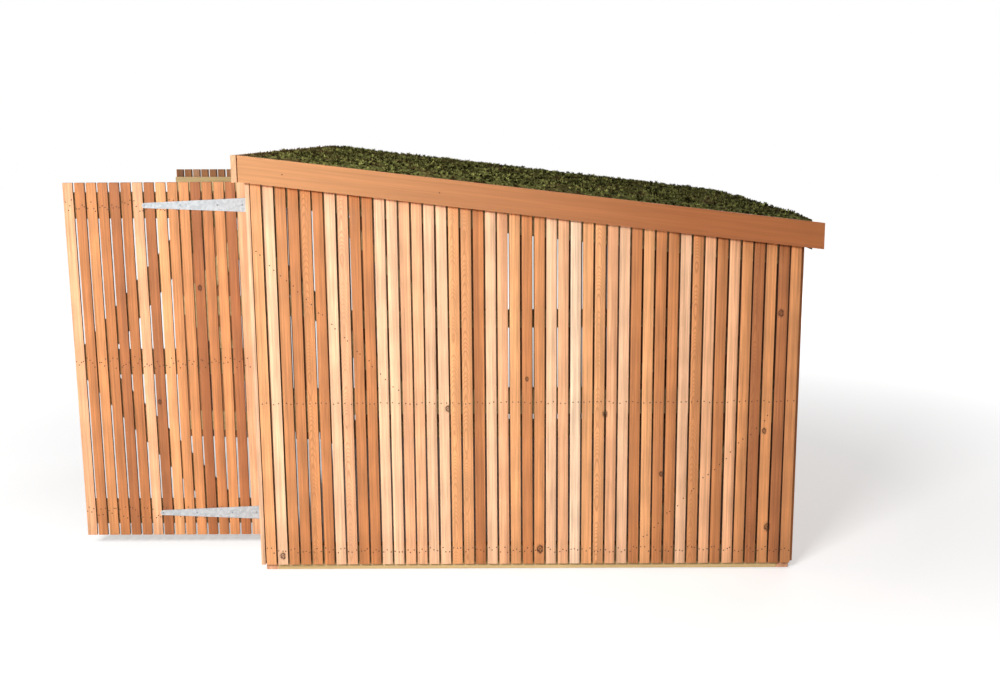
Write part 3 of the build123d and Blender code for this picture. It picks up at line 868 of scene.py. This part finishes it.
def model_sprig():
    """A sprig on the origin: five narrow leaves that stand out and up from one point."""
    deselect_all()
    bpy.ops.mesh.primitive_circle_add(vertices=4, radius=1, fill_type="NGON")
    leaf = bpy.context.object
    leaf.matrix_world = (
        Matrix.Rotation(-leaf_lift, 4, "Y")
        @ Matrix.Translation((leaf_length / 2, 0, 0))
        @ Matrix.Diagonal((leaf_length / 2, leaf_width / 2, 1, 1))
    )
    bpy.ops.object.transform_apply(location=True, rotation=True, scale=True)
    leaves = [leaf]
    for turn in range(1, leaf_count):
        twin = copy_of(leaf)
        twin.data.transform(Matrix.Rotation(2 * pi * turn / leaf_count, 4, "Z"))
        leaves.append(twin)
    return join_pieces(leaves, "sprig", Matrix.Identity(4))


def build_scatter(sprig):
    """Geometry nodes that replace a surface by sprigs strewn over it, each with its own tone."""
    group = bpy.data.node_groups.new("strewn sprigs", "GeometryNodeTree")
    group.interface.new_socket("Geometry", in_out="INPUT", socket_type="NodeSocketGeometry")
    group.interface.new_socket("Geometry", in_out="OUTPUT", socket_type="NodeSocketGeometry")
    given = put(group, "NodeGroupInput").outputs[0]
    values = {"Mesh": given, "Density": sprig_density, "Seed": 4}
    points = put(group, "GeometryNodeDistributePointsOnFaces", values).outputs["Points"]
    limits = {0: (-sprig_tilt, -sprig_tilt, 0.0), 1: (sprig_tilt, sprig_tilt, 2 * pi)}
    turn = put(group, "FunctionNodeRandomValue", limits, data_type="FLOAT_VECTOR").outputs[0]
    luck = put(group, "FunctionNodeRandomValue", {2: 0.0, 3: 1.0, "Seed": 2}).outputs[1]
    size = remap(group, calc(group, "POWER", luck, 3.0), 0, 1, *sprig_sizes)
    plant = put(group, "GeometryNodeObjectInfo", {"Object": sprig}).outputs["Geometry"]
    values = {"Points": points, "Instance": plant, "Rotation": turn, "Scale": size}
    plants = put(group, "GeometryNodeInstanceOnPoints", values).outputs[0]
    tone = put(group, "FunctionNodeRandomValue", {2: 0.0, 3: 1.0, "Seed": 9}).outputs[1]
    values = {"Geometry": plants, "Name": "sprig_tone", "Value": tone}
    plants = put(group, "GeometryNodeStoreNamedAttribute", values, domain="INSTANCE").outputs[0]
    plants = put(group, "GeometryNodeRealizeInstances", {0: plants}).outputs[0]
    put(group, "NodeGroupOutput", {0: plants})
    return group


deselect_all()
bpy.ops.mesh.primitive_grid_add(x_subdivisions=mat_cells, y_subdivisions=mat_cells, size=1)
mat = bpy.context.object
mat.name = "planting"
mat.scale = ((mat_high.x - mat_front) / cos(roof_pitch), mat_high.y - mat_low.y, 1)
bpy.ops.object.transform_apply(location=True, rotation=True, scale=True)
bpy.ops.object.mode_set(mode="EDIT")
rim_drops = (
    ("all", mat_edge_drop, mat_edge_reach),
    ("front", mat_front_drop, mat_front_reach),
    ("rear", -mat_rear_lift, mat_edge_reach),
)
for run, drop, reach in rim_drops:
    select_rim(mat, run)
    bpy.ops.transform.translate(
        value=(0, 0, -drop),
        use_proportional_edit=True,
        proportional_edit_falloff="SMOOTH",
        proportional_size=reach,
    )
bpy.ops.object.mode_set(mode="OBJECT")
add_relief(mat, "hummocks", hummock_size, hummock_height)
add_relief(mat, "tufts", tuft_size, tuft_height)
middle_x = (mat_front + mat_high.x) / 2
middle_z = fascia_high.z - (middle_x - fascia_low.x) * tan(roof_pitch) + mat_rise
mat.matrix_world = Matrix.Translation((middle_x, 0, middle_z)) @ Matrix.Rotation(roof_pitch, 4, "Y")
bpy.ops.object.transform_apply(location=True, rotation=True, scale=True)
bpy.ops.object.shade_smooth()
sprig = model_sprig()
sprig.data.materials.append(moss_material("sprigs", "sprig_tone"))
sprigs = copy_of(mat)
sprigs.name = "planting_sprigs"
pick(sprigs)
scatter = sprigs.modifiers.new("scatter", "NODES")
scatter.node_group = build_scatter(sprig)
bpy.ops.object.modifier_apply(modifier="scatter")
bpy.data.objects.remove(sprig)
pick(mat)
bpy.ops.object.mode_set(mode="EDIT")
select_rim(mat, "all")
bpy.ops.mesh.extrude_region_move(TRANSFORM_OT_translate={"value": (0, 0, -mat_skirt)})
bpy.ops.mesh.edge_face_add()
bpy.ops.mesh.select_all(action="SELECT")
bpy.ops.mesh.normals_make_consistent(inside=False)
bpy.ops.object.mode_set(mode="OBJECT")
mat.data.materials.append(moss_material("moss"))
for piece in (mat, sprigs):
    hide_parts("planted_mat")
    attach(piece, "shelter")

# Stage: a plain white floor that fades into a white background, one soft lamp at the left and front,
# and a weaker one that fills the shade behind.
floor_size = 60.0
floor_tone = 0.8
floor_near_lift = 0.47
floor_far_lift = 0.85
floor_lift_reach = (1.8, 5.0)
floor_shelter_edge = (0.96, 1.0)
ambient = 0.15
deselect_all()
bpy.ops.mesh.primitive_plane_add(size=floor_size, location=(0, 0, 0))
floor = bpy.context.object
floor.name = "studio_floor"


def seen_directly(tree):
    """Socket that is 1 for rays from the camera, off shiny faces or through clear ones."""
    rays = put(tree, "ShaderNodeLightPath").outputs
    seen = rays["Is Camera Ray"]
    for name in ("Is Glossy Ray", "Is Transmission Ray"):
        seen = calc(tree, "MAXIMUM", seen, rays[name])
    return seen


floor_material, tree, shader, coordinates = start_material("studio floor")
shader.inputs["Base Color"].default_value = (floor_tone, floor_tone, floor_tone, 1)
shader.inputs["Roughness"].default_value = 0.9
shader.inputs["Emission Color"].default_value = (1, 1, 1, 1)
middle = ((side_low.x + rear_high.x) / 2, 0, 0)
offset = put(tree, "ShaderNodeVectorMath", {0: coordinates, 1: middle}, operation="SUBTRACT").outputs[0]
away = put(tree, "ShaderNodeVectorMath", {0: offset}, operation="LENGTH").outputs["Value"]
lift = remap(tree, away, *floor_lift_reach, floor_near_lift, floor_far_lift)
half = ((rear_high.x - side_low.x) / 2, far_high.y, 1)
share = put(tree, "ShaderNodeVectorMath", {0: offset, 1: half}, operation="DIVIDE").outputs[0]
share = put(tree, "ShaderNodeSeparateXYZ", {0: share}).outputs
outside = calc(tree, "MAXIMUM", calc(tree, "ABSOLUTE", share[0]), calc(tree, "ABSOLUTE", share[1]))
lift = calc(tree, "MULTIPLY", lift, remap(tree, outside, *floor_shelter_edge))
lift = calc(tree, "MULTIPLY", lift, seen_directly(tree))
tree.links.new(lift, shader.inputs["Emission Strength"])
floor.data.materials.append(floor_material)
world = bpy.data.worlds.new("studio")
bpy.context.scene.world = world
world.use_nodes = True
tree = world.node_tree
strength = remap(tree, seen_directly(tree), 0, 1, ambient, 1.0)
tree.links.new(strength, tree.nodes["Background"].inputs["Strength"])
tree.nodes["Background"].inputs["Color"].default_value = (1, 1, 1, 1)


def add_lamp(name, place, target, size, power):
    """A soft square lamp that faces its target."""
    lamp = bpy.data.lights.new(name, "AREA")
    lamp.size = size
    lamp.energy = power
    holder = bpy.data.objects.new(name, lamp)
    bpy.context.collection.objects.link(holder)
    holder.location = place
    holder.rotation_euler = (Vector(target) - Vector(place)).to_track_quat("-Z", "Y").to_euler()


add_lamp("key lamp", place=(-2.3, -6.0, 3.5), target=(-1.7, -4.7, -1.3), size=2.0, power=494)
add_lamp("rear fill", place=(4.2, 6.5, 3.2), target=(0.3, 0.6, 0.8), size=4.0, power=125)

# Camera: square to the near side, a little higher than the roof's high end and tipped down so that
# the planting shows. Its lens is given in pixels of the picture's width.
photo_width = 1000
focal_pixels = 1183.2
sensor_width = 36.0
camera_place = (0.2812, -5.3734, 1.6721)
camera_pitch = radians(10.5389)
camera_yaw = radians(-0.3627)
camera_roll = radians(0.3697)
lens = bpy.data.cameras.new("photo camera")
lens.sensor_width = sensor_width
lens.lens = focal_pixels / photo_width * sensor_width
camera = bpy.data.objects.new("photo camera", lens)
bpy.context.collection.objects.link(camera)
look = Matrix.Rotation(pi / 2 - camera_pitch, 4, "X") @ Matrix.Rotation(-camera_roll, 4, "Z")
camera.matrix_world = Matrix.Translation(camera_place) @ Matrix.Rotation(-camera_yaw, 4, "Z") @ look
bpy.context.scene.camera = camera
bpy.context.scene.view_settings.view_transform = "Standard"
